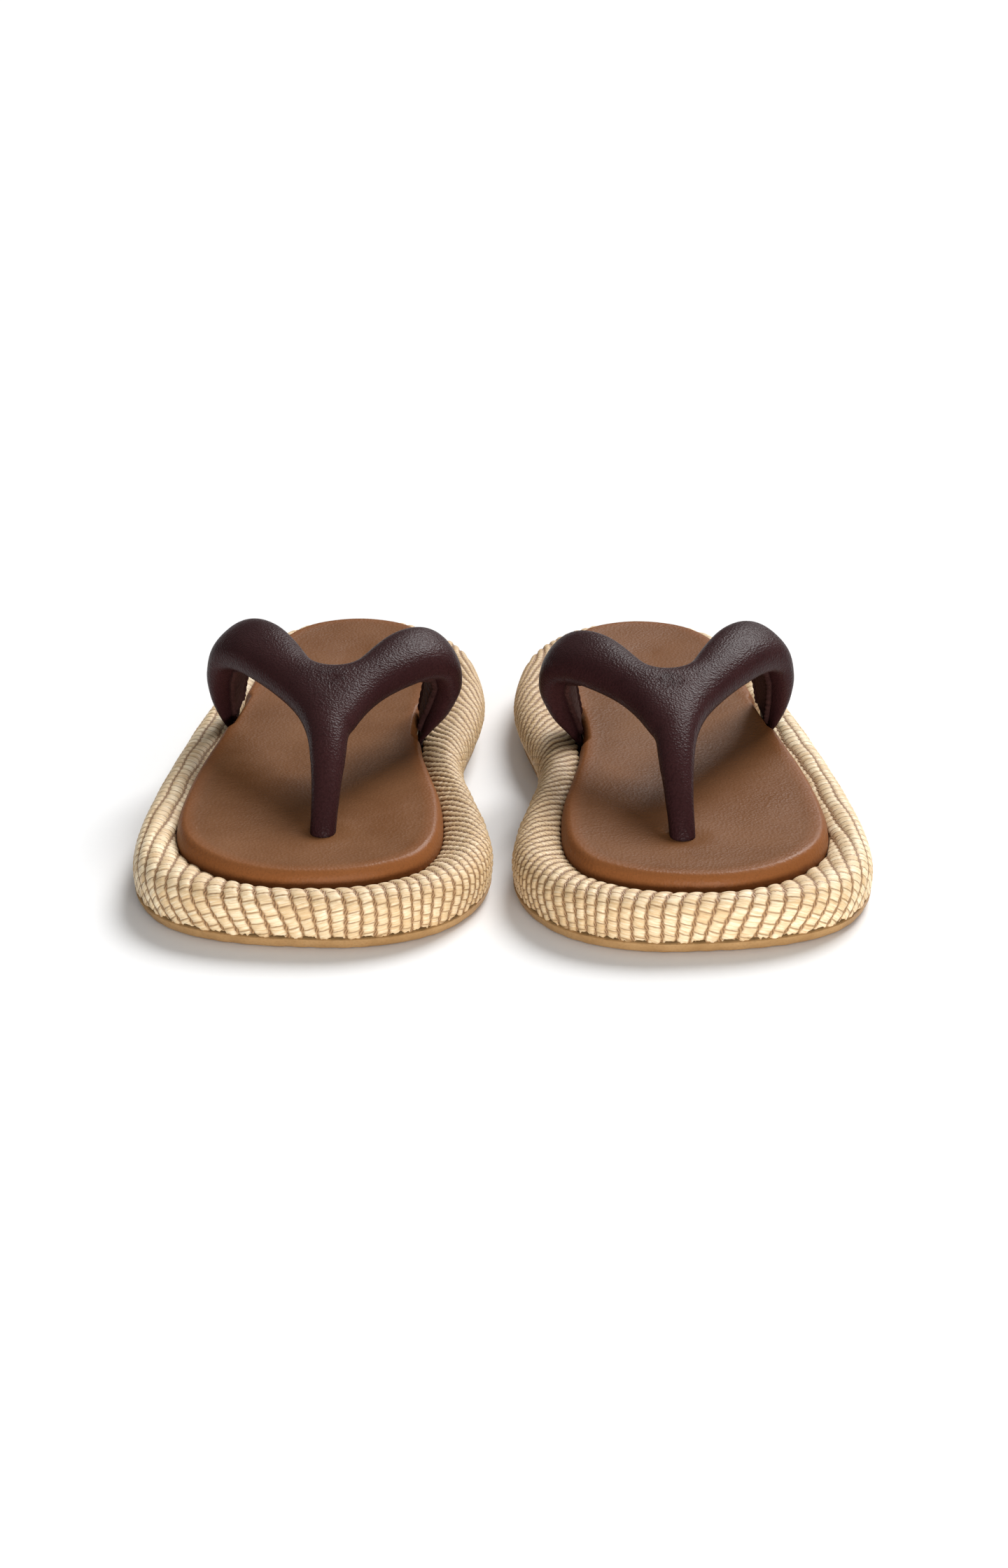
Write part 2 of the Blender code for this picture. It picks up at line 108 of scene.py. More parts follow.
def rim_width(loop, normals):
    """Distance from the footbed edge out to the widest line of the platform."""
    wall = smooth_curve(PLATFORM, np.linspace(0, len(PLATFORM), 901)[:-1], True)
    edge = np.roll(wall, -1, 0) - wall
    gap = wall[None] - loop[:, None]
    det = normals[:, None, 0] * edge[None, :, 1] - normals[:, None, 1] * edge[None, :, 0]
    t = (gap[..., 0] * edge[None, :, 1] - gap[..., 1] * edge[None, :, 0]) / det
    s = (gap[..., 0] * normals[:, None, 1] - gap[..., 1] * normals[:, None, 0]) / det
    return np.where((t > 0) & (s >= -1e-4) & (s <= 1.0001), t, 1e9).min(1)


def tuck(loop, normals):
    """How far the foot of the wall is drawn in under the medial waist."""
    return UNDERCUT * np.clip(normals[:, 0], 0, 1) * np.exp(-((loop[:, 1] - 20.0) / 50.0) ** 2)


print("footbed", np.ptp(np.array(FOOTBED), axis=0), "mm; platform", np.ptp(np.array(PLATFORM), axis=0))

# %% [markdown]
# A flat grid is the easiest thing to shape: it has rows and columns that can be rolled into a
# tube, a ring or a strip, and its seam is then merged. These helpers add the grid, move its
# points, close it, and at the end set the finished shape down once for each foot.

# %% Helpers for shaping and placing
def nothing_selected():
    if bpy.context.object and bpy.context.object.mode != 'OBJECT':
        bpy.ops.object.mode_set(mode='OBJECT')
    bpy.ops.object.select_all(action='DESELECT')


def new_grid(name, columns, rows):
    """A grid and, for every vertex, its column and row number."""
    nothing_selected()
    bpy.ops.mesh.primitive_grid_add(x_subdivisions=columns, y_subdivisions=rows, size=2.0)
    obj = bpy.context.object
    obj.name = name
    co = points_of(obj)
    col = np.rint((co[:, 0] + 1) / 2 * columns).astype(int)
    row = np.rint((co[:, 1] + 1) / 2 * rows).astype(int)
    return obj, col, row


def points_of(obj):
    co = np.empty(len(obj.data.vertices) * 3)
    obj.data.vertices.foreach_get("co", co)
    return co.reshape(-1, 3)


def move_points(obj, co):
    obj.data.vertices.foreach_set("co", np.asarray(co, float).ravel())
    obj.data.update()


def write_uv(obj, u, v):
    """Give every face corner the pattern coordinates of its vertex."""
    corner = np.empty(len(obj.data.loops), int)
    obj.data.loops.foreach_get("vertex_index", corner)
    uv = np.stack([u[corner], v[corner]], 1)
    obj.data.uv_layers[0].data.foreach_set("uv", uv.ravel())


def in_edit(obj, *steps):
    """Run edit-mode operators on the whole mesh."""
    nothing_selected()
    bpy.context.view_layer.objects.active = obj
    obj.select_set(True)
    bpy.ops.object.mode_set(mode='EDIT')
    bpy.ops.mesh.select_all(action='SELECT')
    for step in steps:
        step()
    bpy.ops.object.mode_set(mode='OBJECT')


def weld(distance=0.002):
    return lambda: bpy.ops.mesh.remove_doubles(threshold=distance)


def face_out():
    bpy.ops.mesh.normals_make_consistent(inside=False)


def fill_ends():
    bpy.ops.mesh.select_all(action='DESELECT')
    bpy.ops.mesh.select_non_manifold()
    bpy.ops.mesh.fill_holes(sides=0)
    bpy.ops.mesh.select_all(action='SELECT')


def smooth_by(obj, degrees):
    nothing_selected()
    bpy.context.view_layer.objects.active = obj
    obj.select_set(True)
    bpy.ops.object.shade_smooth_by_angle(angle=radians(degrees))


def volume(obj):
    mesh = obj.data
    mesh.calc_loop_triangles()
    tri = np.empty(len(mesh.loop_triangles) * 3, int)
    mesh.loop_triangles.foreach_get("vertices", tri)
    p = points_of(obj)[tri.reshape(-1, 3)]
    return float(np.einsum('ij,ij->i', p[:, 0], np.cross(p[:, 1], p[:, 2])).sum() / 6)


def pair(obj, piece, material, hides):
    """Set a finished right-shoe piece down for both feet: riding, painted, in its CAD node's place."""
    made = []
    for foot, (x0, y0, turn) in STANDS.items():
        nothing_selected()
        bpy.context.view_layer.objects.active = obj
        obj.select_set(True)
        bpy.ops.object.duplicate()
        copy = bpy.context.object
        copy.name = copy.data.name = f"{foot}_{piece}"
        co = points_of(copy)
        if foot == "left":
            co[:, 0] *= -1
        x, y = co[:, 0].copy(), co[:, 1].copy()
        co[:, 0] = x0 + cos(turn) * x - sin(turn) * y
        co[:, 1] = y0 + sin(turn) * x + cos(turn) * y
        move_points(copy, co * MM)
        if volume(copy) < 0:
            in_edit(copy, bpy.ops.mesh.flip_normals)
        copy.data.materials.clear()
        copy.data.materials.append(material)
        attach(copy, f"{foot}_shoe")
        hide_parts(*[f"{foot}_{n}" for n in hides])
        made.append(copy)
    bpy.data.objects.remove(obj, do_unlink=True)
    print(piece, len(made[0].data.vertices), "points,", round(volume(made[0]) * 1e6, 2), "ml a shoe")
    return made


# %% [markdown]
# Every finish is a small tree of nodes. One helper makes a node, sets its sockets and joins
# its inputs, so that each recipe below reads as a list of steps.

# %% Helper for materials
class Recipe:
    """A Principled material and short calls that add nodes to it."""

    def __init__(self, name, roughness=0.5, **values):
        self.mat = bpy.data.materials.new(name)
        self.mat.use_nodes = True
        self.tree = self.mat.node_tree
        self.shader = self.tree.nodes["Principled BSDF"]
        self.shader.inputs["Roughness"].default_value = roughness
        for key, value in values.items():
            self.shader.inputs[key.replace("_", " ")].default_value = value

    def node(self, kind, inputs=(), out=0, **settings):
        n = self.tree.nodes.new(kind)
        for key, value in settings.items():
            setattr(n, key, value)
        for key, value in dict(inputs).items():
            if isinstance(value, bpy.types.NodeSocket):
                self.tree.links.new(value, n.inputs[key])
            else:
                n.inputs[key].default_value = value
        return n.outputs[out]

    def math(self, operation, a, b=0.0, c=0.0):
        return self.node('ShaderNodeMath', {0: a, 1: b, 2: c}, operation=operation)

    def place(self, scale=(1, 1, 1)):
        """The piece's own coordinates in metres, stretched by scale."""
        coords = self.node('ShaderNodeTexCoord', out=3)
        return self.node('ShaderNodeMapping', {"Vector": coords, "Scale": scale})

    def noise(self, vector, scale, detail=3.0, rough=0.55):
        return self.node('ShaderNodeTexNoise', {"Vector": vector, "Scale": scale, "Detail": detail,
                                                "Roughness": rough})

    def cells(self, vector, scale, feature='F1', out=0):
        return self.node('ShaderNodeTexVoronoi', {"Vector": vector, "Scale": scale}, out=out,
                         feature=feature)

    def ramp(self, value, low, high, start=0.0, end=1.0):
        """Map start..end of a value to low..high, colours or numbers."""
        if isinstance(low, tuple):
            return self.mix(self.ramp(value, 0.0, 1.0, start, end), low, high)
        return self.node('ShaderNodeMapRange', {"Value": value, 1: start, 2: end, 3: low, 4: high})

    def mix(self, share, a, b):
        paint = [(*c, 1.0) if isinstance(c, tuple) else c for c in (a, b)]
        return self.node('ShaderNodeMix', {0: share, 6: paint[0], 7: paint[1]}, out=2,
                         data_type='RGBA')

    def bump(self, height, distance, strength=1.0, below=None):
        inputs = {"Height": height, "Distance": distance, "Strength": strength}
        if below is not None:
            inputs["Normal"] = below
        return self.node('ShaderNodeBump', inputs)

    def finish(self, color, rough=None, normal=None):
        self.tree.links.new(color, self.shader.inputs["Base Color"])
        if rough is not None:
            self.tree.links.new(rough, self.shader.inputs["Roughness"])
        if normal is not None:
            self.tree.links.new(normal, self.shader.inputs["Normal"])
        print("finish", self.mat.name, len(self.tree.nodes), "nodes")
        return self.mat


# %% [markdown]
# ## Outsole
# The outsole is a thin sheet of crepe rubber, the colour of caramel, cut round with a knife, so
# its lower edge is a little ragged. A filled circle takes the plan shape and is extruded up in
# three steps; the wall's points are then nudged in and out to roughen the cut.

# %% Crepe rubber
crepe = Recipe("crepe_rubber", roughness=0.62, Subsurface_Weight=0.0)
spot = crepe.place()
cloud = crepe.noise(spot, 90.0, 4.0)
crumb = crepe.cells(spot, 900.0)
tint = crepe.mix(crepe.ramp(cloud, 0.0, 1.0, 0.35, 0.7), (0.32, 0.175, 0.062), (0.40, 0.235, 0.095))
tint = crepe.mix(crepe.ramp(crumb, 0.35, 0.0, 0.1, 0.5), tint, (0.24, 0.12, 0.042))
pits = crepe.bump(crepe.noise(spot, 700.0, 4.0), 0.0005, 0.6)
CREPE = crepe.finish(tint, crepe.ramp(cloud, 0.5, 0.75, 0.3, 0.7), pits)

# %% Cut the outsole
OUTSOLE_T = 3.8
ROUND = 720
edge_loop, _, _ = even_outline(FOOTBED, ROUND)
edge_out = outward(edge_loop)
edge_width = rim_width(edge_loop, edge_out) - tuck(edge_loop, edge_out)
nothing_selected()
bpy.ops.mesh.primitive_circle_add(vertices=ROUND, radius=1.0, fill_type='NGON')
outsole = bpy.context.object
angle = 2 * pi * np.arange(ROUND) / ROUND
ragged = sum(rng.normal(0, 0.16 / (1 + k / 40), 1) * np.sin(k * angle + rng.uniform(0, 6.28))
             for k in range(20, 180, 7))
rows = [(-2.1, 0.0), (-1.5, 0.35), (-0.8, 1.3), (-0.2, 2.6), (0.0, OUTSOLE_T - 0.3), (-0.5, OUTSOLE_T)]


def outsole_ring(k):
    proud, z = rows[k]
    share = (1.0, 0.9, 0.5, 0.25, 0.1, 0.0)[k]
    d = edge_width * 0.985 + 0.35 + proud + ragged * 0.6 * share
    plan = edge_loop + edge_out * d[:, None]
    up = z + np.where(k == 0, 0.0, np.abs(ragged) * 0.35 * share)
    return np.column_stack([plan, up])


first = outsole_ring(0)
move_points(outsole, first)
for k in range(1, len(rows)):
    in_edit(outsole, lambda: bpy.ops.mesh.select_all(action='DESELECT'))
    co = points_of(outsole)
    top = np.arange(len(co) - ROUND, len(co)) if k > 1 else np.arange(ROUND)
    outsole.data.vertices.foreach_set("select", np.isin(np.arange(len(co)), top))
    face = np.array([len(p.vertices) > 4 and set(p.vertices) <= set(top.tolist())
                     for p in outsole.data.polygons])
    outsole.data.polygons.foreach_set("select", face)
    bpy.ops.object.mode_set(mode='EDIT')
    bpy.ops.mesh.extrude_region_move(TRANSFORM_OT_translate={"value": (0, 0, 0.5)})
    bpy.ops.object.mode_set(mode='OBJECT')
    co = points_of(outsole)
    lifted = np.array([v.select for v in outsole.data.vertices])
    ring = np.flatnonzero(lifted)
    below = outsole_ring(k - 1)
    near = ((co[ring, None, :2] - below[None, :, :2]) ** 2).sum(2).argmin(1)
    co[ring] = outsole_ring(k)[near]
    move_points(outsole, co)
in_edit(outsole, face_out)
smooth_by(outsole, 50)
print("outsole", len(outsole.data.polygons), "faces")
pair(outsole, "outsole_crepe", CREPE, hides=["outsole"])

# %% [markdown]
# ## Woven raffia cover
# The cover is handwoven raffia: flat bundles of straw laid side by side and locked by thin brown
# twisted threads. On the lateral side the threads follow the edge; round the toe they turn and
# run down over the wall; on the medial side they cross the rim on the slant like a rope. The
# cloth is laid out first as two numbers at every point, bands across the threads and bundles
# along them, so the relief and the colours come from the same pattern.

# %% Lay the cloth out over the rim
AROUND, OVER, BACK = 1180, 70, 6
BAND, BUNDLE = 4.9, 3.7
RIM = [(0.0, 12.8), (0.0, 14.6), (0.10, 15.7), (0.22, 16.6), (0.40, 17.5), (0.60, 17.9), (0.80, 16.9),
       (0.94, 14.6), (1.0, 11.2), (1.0, 7.8), (0.975, 4.0)]
HEEL_START = 15.0
cloth_edge, cloth_rows, cloth_length = even_outline(FOOTBED, AROUND, HEEL_START)
cloth_out = outward(cloth_edge)
cloth_width = rim_width(cloth_edge, cloth_out)
cloth_tuck = tuck(cloth_edge, cloth_out)
# Direction of the threads, in degrees, at rows of the footbed outline
TURN = [(15, 0), (16, 25), (17, 50), (18, 72), (19, 84), (20, 88), (22, 89), (24, 91), (25, 99),
        (26, 116), (27, 139), (28, 152), (29, 161), (30, 167), (31, 174), (32, 186), (33, 200),
        (34, 214), (35, 224), (36, 230), (37, 233), (38, 235), (40, 238), (41, 244), (42, 258),
        (43, 285), (44, 325), (45, 360)]
# Width of the bands in mm: about half as wide round the medial side, where the cloth is tight
WIDTHS = [(15, 4.9), (30, 4.9), (31, 4.7), (32, 4.1), (33, 3.5), (34, 3.1), (35, 2.8), (42, 2.8),
          (43, 3.3), (44, 4.1), (45, 4.9)]


def by_row(table, full_lap):
    """Values from a table by outline row, smoothed along the edge."""
    v = np.interp(cloth_rows, *np.array(table, float).T)
    v = np.concatenate([v[-25:] - full_lap, v, v[:25] + full_lap])
    return np.convolve(v, np.ones(51) / 51, 'valid')


turn = np.radians(by_row(TURN, 360.0))
band_mm = by_row(WIDTHS, 0.0)
bundle_mm = BUNDLE * (0.45 + 0.55 * band_mm / BAND)
step = cloth_length / AROUND
lap = np.arange(AROUND + 1) / AROUND
across = np.concatenate([[0], np.cumsum(np.cos(turn) * step / band_mm)])
along = np.concatenate([[0], np.cumsum(-np.sin(turn) * step / bundle_mm)])
for count in (across, along):  # a lap must be an even whole number, so that the ends meet
    count += (2 * round(count[-1] / 2) - count[-1]) * lap
print("bands in a lap", round(across[-1], 2), "bundles", round(along[-1], 2))

# %% [markdown]
# The grid is wrapped round the shoe, over the rim and back inside, and its two seams are merged
# later. Each of its points gets its place on the smooth rim and its two pattern numbers.

# %% Wrap the cloth round the shoe
cover, col, row = new_grid("cover", AROUND, OVER + BACK)
here = col % AROUND
profile = smooth_curve(RIM, np.linspace(0, len(RIM) - 1, 401))
width = cloth_width[here]
GROOVE = 0.75      # gap between the footbed's edge and the cloth


def rim_point(share_rows):
    """Distance out from the footbed edge and height, at a share of the way over the rim."""
    t = np.clip(share_rows, 0, 1) * 400
    i = np.clip(t.astype(int), 0, 399)
    f = t - i
    u = profile[i, 0] * (1 - f) + profile[i + 1, 0] * f
    z = profile[i, 1] * (1 - f) + profile[i + 1, 1] * f
    under = cloth_tuck[here] * np.clip((11.0 - z) / 7.0, 0, 1) * (u > 0.7)
    return GROOVE + u * (width - GROOVE) - under, z


outer = row <= OVER
share = np.where(outer, row / OVER, 1 - (row - OVER) / BACK)
out_d, out_z = rim_point(share)
d1, z1 = rim_point(share - 0.004)
d2, z2 = rim_point(share + 0.004)
tx, tz = d2 - d1, z2 - z1
size = np.hypot(tx, tz)
nd, nz = -tz / size, tx / size
travel = np.zeros(len(row))
lengths = np.zeros((OVER + 1, AROUND))
for k in range(1, OVER + 1):
    a, b = profile[int((k - 1) / OVER * 400)], profile[int(k / OVER * 400)]
    lengths[k] = lengths[k - 1] + np.hypot((b[0] - a[0]) * (cloth_width - GROOVE), b[1] - a[1])
travel[outer] = lengths[row[outer], here[outer]]
travel[~outer] = lengths[OVER, here[~outer]]
turn_here = turn[here]
wander = 0.35 * np.sin(here * 2 * pi * 9 / AROUND + travel * 0.21) \
    + 0.25 * np.sin(here * 2 * pi * 23 / AROUND - travel * 0.33)
a = across[col] + (np.sin(turn_here) * travel + wander) / band_mm[here]
b = along[col] + (np.cos(turn_here) * travel + 0.6 * wander) / bundle_mm[here]
write_uv(cover, a, b)
over_mm = lengths[OVER]
print("cloth over the rim", round(over_mm.min(), 1), "to", round(over_mm.max(), 1), "mm")

# %% [markdown]
# Every point is then pushed out by the height of the weave: plump in the middle of a bundle, low
# at its ends, and lowest in the valley where the thread lies, with the thread as a fine ridge.

# %% Weave relief
WOBBLE, THREAD = 0.035, 0.07  # the thread's side-to-side wave and half width, in bands


def random_of(i, j, seed):
    """A repeatable number from 0 to 1 for every bundle."""
    v = np.sin(i * 12.9898 + j * 78.233 + seed * 37.719) * 43758.5453
    return v - np.floor(v)


lap_bands = int(round(across[-1]))
lap_bundles = int(round(along[-1]))
band = np.floor(a)
bb = b + 0.5 * (band % 2)
cell = np.floor(bb)
fa, fb = a - band, bb - cell
zig = WOBBLE * np.sin(2 * pi * bb)
from_thread = np.minimum(np.abs(fa + zig), np.abs(fa + zig - 1))
plump = np.clip((from_thread - THREAD) / (0.5 - THREAD), 0, 1)
plump = np.sqrt(np.clip(1 - (1 - plump) ** 2, 0, 1))
ends = np.clip(1 - np.abs(2 * fb - 1) ** 4.0, 0, 1) ** 0.6
wrapped_band = band % max(abs(lap_bands), 1)
wrapped_cell = cell % max(abs(lap_bundles), 1)
level = 0.80 + 0.35 * random_of(wrapped_band, wrapped_cell, 1.0)
height = 0.78 * plump * (0.32 + 0.68 * ends) * level
thread = np.clip(1 - from_thread / 0.11, 0, 1) ** 0.5
height = np.maximum(height, thread * (0.26 + 0.10 * np.sin(2 * pi * bb * 2)))
fade = np.clip(row / 6.0, 0, 1) * np.clip((OVER - row) / 1.5, 0.2, 1)
height = np.where(outer, height * fade, 0.0) - 0.35
inset = np.where(outer, 0.0, -1.2)
push = height + inset
hem = rng.normal(0, 0.35, AROUND)[here] + 0.5 * np.sin(here * 0.41)
ragged_hem = np.where(row >= OVER - 1, hem, 0.0)
plan = cloth_edge[here] + cloth_out[here] * (out_d + nd * push)[:, None]
rise = lift(plan[:, 1]) * RIM_LIFT / HEEL_LIFT * np.clip((out_z - 4.0) / 10.0, 0, 1)
z = out_z + nz * push + rise + ragged_hem * (out_z < 6)
z = np.maximum(z, OUTSOLE_T - 0.2)
move_points(cover, np.column_stack([plan, z]))
medial = cover.data.attributes.new("side_tone", 'FLOAT', 'POINT')
medial.data.foreach_set("value", (0.5 - 0.5 * np.sin(turn_here)).astype(np.float32))
in_edit(cover, weld(0.003), face_out)
smooth_by(cover, 60)
print("cover", len(cover.data.polygons), "faces")

# %% [markdown]
# The same two numbers, kept as the cover's own UV map, drive its finish. Whole parts name the
# bundle, which picks its straw colour; fractions place the thread; and noise stretched across
# the band draws the fibres, finer than any mesh could. The straw is darker on the medial side.
# Painted shade darkens the straw in the creases at the bundle ends and in the valleys beside
# the threads.

# %% Raffia finish
raffia = Recipe("raffia_weave", roughness=0.58)
uv = raffia.node('ShaderNodeTexCoord', out=2)
split = raffia.tree.nodes.new('ShaderNodeSeparateXYZ')
raffia.tree.links.new(uv, split.inputs[0])
ua, ub = split.outputs[0], split.outputs[1]
band_no = raffia.math('FLOOR', ua)
ub2 = raffia.math('MULTIPLY_ADD', raffia.math('FLOORED_MODULO', band_no, 2.0), 0.5, ub)
cell_no = raffia.math('FLOOR', ub2)
wave = raffia.math('MULTIPLY', raffia.math('SINE', raffia.math('MULTIPLY', ub2, 2 * pi)), WOBBLE)
frac = raffia.math('ADD', raffia.math('FRACT', ua), wave)
near = raffia.math('MINIMUM', raffia.math('ABSOLUTE', frac),
                   raffia.math('ABSOLUTE', raffia.math('SUBTRACT', frac, 1.0)))
side_no = raffia.node('ShaderNodeAttribute', out=2, attribute_name="side_tone")
near = raffia.math('DIVIDE', near, raffia.math('MULTIPLY_ADD', side_no, 0.9, 0.85))
key = raffia.node('ShaderNodeCombineXYZ', {0: band_no, 1: cell_no, 2: 0.0})
pick = raffia.node('ShaderNodeTexWhiteNoise', {"Vector": key}, out=0, noise_dimensions='2D')
fibre_at = raffia.node('ShaderNodeCombineXYZ', {0: raffia.math('MULTIPLY', ua, 0.9),
                                                1: raffia.math('MULTIPLY', ub2, 6.5), 2: pick})
fibre = raffia.noise(fibre_at, 1.0, 3.0, 0.6)
hair_at = raffia.node('ShaderNodeCombineXYZ', {0: raffia.math('MULTIPLY', ua, 2.2),
                                               1: raffia.math('MULTIPLY', ub2, 26.0), 2: pick})
hair = raffia.noise(hair_at, 1.0, 2.0, 0.6)
patch = raffia.noise(raffia.place(), 55.0, 2.0)
straw = raffia.mix(raffia.ramp(pick, 0.0, 1.0, 0.0, 1.0), (0.74, 0.55, 0.32), (0.96, 0.82, 0.57))
straw = raffia.mix(raffia.ramp(fibre, 0.0, 0.8, 0.42, 0.70), straw, (0.58, 0.36, 0.16))
straw = raffia.mix(raffia.ramp(fibre, 0.65, 0.0, 0.30, 0.46), straw, (0.95, 0.86, 0.68))
straw = raffia.mix(raffia.ramp(hair, 0.0, 0.35, 0.5, 0.75), straw, (0.50, 0.31, 0.14))
straw = raffia.mix(raffia.math('MULTIPLY', side_no, 0.60), straw, (0.56, 0.36, 0.17))
straw = raffia.mix(raffia.ramp(patch, 0.0, 0.3, 0.45, 0.7), straw, (0.62, 0.42, 0.21))
# painted shade: the straw is darkened in the creases where one bundle ends and the next begins
end_crease_shade = raffia.math('ABSOLUTE', raffia.math('MULTIPLY_ADD', raffia.math('FRACT', ub2), 2.0, -1.0))
straw = raffia.mix(raffia.ramp(end_crease_shade, 0.0, 0.95, 0.78, 0.98), straw, (0.30, 0.17, 0.07))
# painted shade: the straw is darkened in the valley beside each thread, where it dips under it
straw = raffia.mix(raffia.ramp(near, 0.65, 0.0, 0.08, 0.19), straw, (0.40, 0.23, 0.10))
slant = raffia.math('MULTIPLY', frac, 30.0)
twist = raffia.math('SINE', raffia.math('MULTIPLY_ADD', ub2, 4 * pi, slant))
cord_tint = raffia.mix(raffia.ramp(twist, 0.0, 1.0, -1.0, 1.0), (0.20, 0.10, 0.038), (0.42, 0.24, 0.105))
on_cord = raffia.ramp(near, 1.0, 0.0, THREAD, 0.11)
color = raffia.mix(on_cord, straw, cord_tint)
fine = raffia.bump(hair, 0.00012, 0.8)
fine = raffia.bump(fibre, 0.0004, 0.7, fine)
fine = raffia.bump(raffia.math('MULTIPLY', twist, on_cord), 0.00015, 0.6, fine)
RAFFIA = raffia.finish(color, raffia.ramp(fibre, 0.42, 0.66, 0.3, 0.7), fine)
pair(cover, "raffia_cover", RAFFIA, hides=["raffia_wrap"])

# %% [markdown]
# ## Footbed
# The footbed is foam with tan leather drawn over its edge and turned under, so it has a soft
# rolled rim about 5 mm deep and a shallow dish where the foot sits. A grid is wrapped as rings
# that shrink from the edge to a spine down the middle, which keeps its faces even. The leather
# is matt and fine-grained, a little redder and lighter where it is stretched over the edge.

# %% Tan leather
tan = Recipe("tan_leather", roughness=0.40, Specular_IOR_Level=0.07)
at = tan.place()
grain = tan.cells(at, 950.0, out=0)
pores = tan.noise(at, 1500.0, 2.0)
mottle = tan.noise(at, 38.0, 4.0)
wide = tan.noise(at, 9.0, 2.0)
drape = tan.noise(tan.place((1.0, 3.5, 1.0)), 60.0, 3.0)
hue = tan.mix(tan.ramp(mottle, 0.0, 1.0, 0.35, 0.68), (0.150, 0.060, 0.020), (0.190, 0.082, 0.031))
hue = tan.mix(tan.ramp(wide, 0.0, 0.5, 0.4, 0.65), hue, (0.162, 0.060, 0.018))
edge_tone = tan.node('ShaderNodeAttribute', out=2, attribute_name="edge")
hue = tan.mix(tan.math('MULTIPLY', edge_tone, 0.75), hue, (0.235, 0.082, 0.025))
hue = tan.mix(tan.ramp(pores, 0.0, 0.35, 0.5, 0.8), hue, (0.095, 0.037, 0.013))
skin = tan.bump(drape, 0.0006, 0.25)
skin = tan.bump(grain, 0.00022, 0.40, skin)
skin = tan.bump(pores, 0.00008, 0.5, skin)
TAN = tan.finish(hue, tan.ramp(mottle, 0.36, 0.52, 0.3, 0.7), skin)

# %% Shape the footbed
SIDES, RINGS = 480, 50
SEAT, TOP = 14.4, 20.5
SPINE = [(4.0, -82.0), (1.0, -30.0), (-1.5, 20.0), (-0.5, 78.0)]
POST = (8.0, -87.0)
SLOTS = [(-37.2, 17.5), (31.6, 11.0)]
bed_edge, _, _ = even_outline(FOOTBED, SIDES)
spine = smooth_curve(SPINE, np.linspace(0, 3, 200))
nearest = ((bed_edge[:, None] - spine[None]) ** 2).sum(2).argmin(1)
spine_at = spine[nearest]
for _ in range(30):
    spine_at = (np.roll(spine_at, 1, 0) + spine_at * 2 + np.roll(spine_at, -1, 0)) / 4
notch = np.zeros(SIDES)
for sx, sy in SLOTS:
    away = np.hypot(bed_edge[:, 0] - sx, bed_edge[:, 1] - sy)
    notch = np.maximum(notch, 1.7 * np.clip((17.0 - away) / 3.5, 0, 1))
bed, col, row = new_grid("bed", SIDES, RINGS)
here = col % SIDES
ROLL = 3.0
LIP = [(1.3, SEAT), (0.08, SEAT), (0.08, 12.9), (-0.15, 12.8), (-0.30, 13.6), (-0.30, 14.8),
       (-0.12, 15.9)]
first = len(LIP) + 13
depth = np.concatenate([[p[0] for p in LIP], np.linspace(0.1, ROLL, 14)])
side_z = np.concatenate([[p[1] for p in LIP], np.zeros(14)])
reach = np.linalg.norm(bed_edge - spine_at, axis=1)[here]
inner_share = np.clip((row - first) / (RINGS - first), 0, 1)
d = np.where(row <= first, depth[np.minimum(row, first)], ROLL + (reach - ROLL) * inner_share * 0.995)
pinch = notch[here] * np.clip(1 - d / 9.0, 0, 1)
share = (d + pinch) / reach
plan = bed_edge[here] + (spine_at[here] - bed_edge[here]) * share[:, None]
rolled = np.clip(d / ROLL, 0, 1)
curve = 15.9 + (TOP - 15.9) * np.sqrt(np.clip(1 - (1 - rolled) ** 2.1, 0, 1))
z = np.where(row < len(LIP), side_z[np.minimum(row, first)], curve)
d = d + pinch
y = plan[:, 1]
dish = np.clip((d - ROLL) / 26.0, 0, 1) ** 1.2
z = z - dish * (0.7 + 0.6 * np.clip((y - 40) / 40, 0, 1))
z = z + 0.15 * np.clip(1 - np.abs(d - ROLL - 1) / 4, 0, 1)
near_post = np.hypot(plan[:, 0] - POST[0], y - POST[1])
z = z - 1.1 * np.exp(-((near_post / 6.5) ** 2)) + 0.12 * np.exp(-((near_post - 10) / 3.0) ** 2)
ripple = 0.10 * np.sin(plan[:, 0] * 0.21 + y * 0.05) * np.sin(y * 0.11) * np.clip((d - 5) / 8, 0, 1)
move_points(bed, np.column_stack([plan, z + ripple + lift(y)]))
edge_share = bed.data.attributes.new("edge", 'FLOAT', 'POINT')
edge_share.data.foreach_set("value", np.clip(1 - (d - 1.5) / 5.5, 0, 1).astype(np.float32))
in_edit(bed, weld(0.05), fill_ends, face_out)
smooth_by(bed, 60)
pair(bed, "footbed_leather", TAN, hides=["footbed_cover"])

# %% [markdown]
# ## Strap
# The strap is one puffy Y of dark nappa leather over foam. Each arm rises from the groove beside
# the footbed, arches over the instep and melts into the toe post with no crease. Two tubes and
# a web between them are rolled from grids along their stations, fused by a voxel remesh, and
# their meeting is then relaxed until it blends. Cloth simulation was left out: the foam holds
# the shape, so there is no slack to drape.

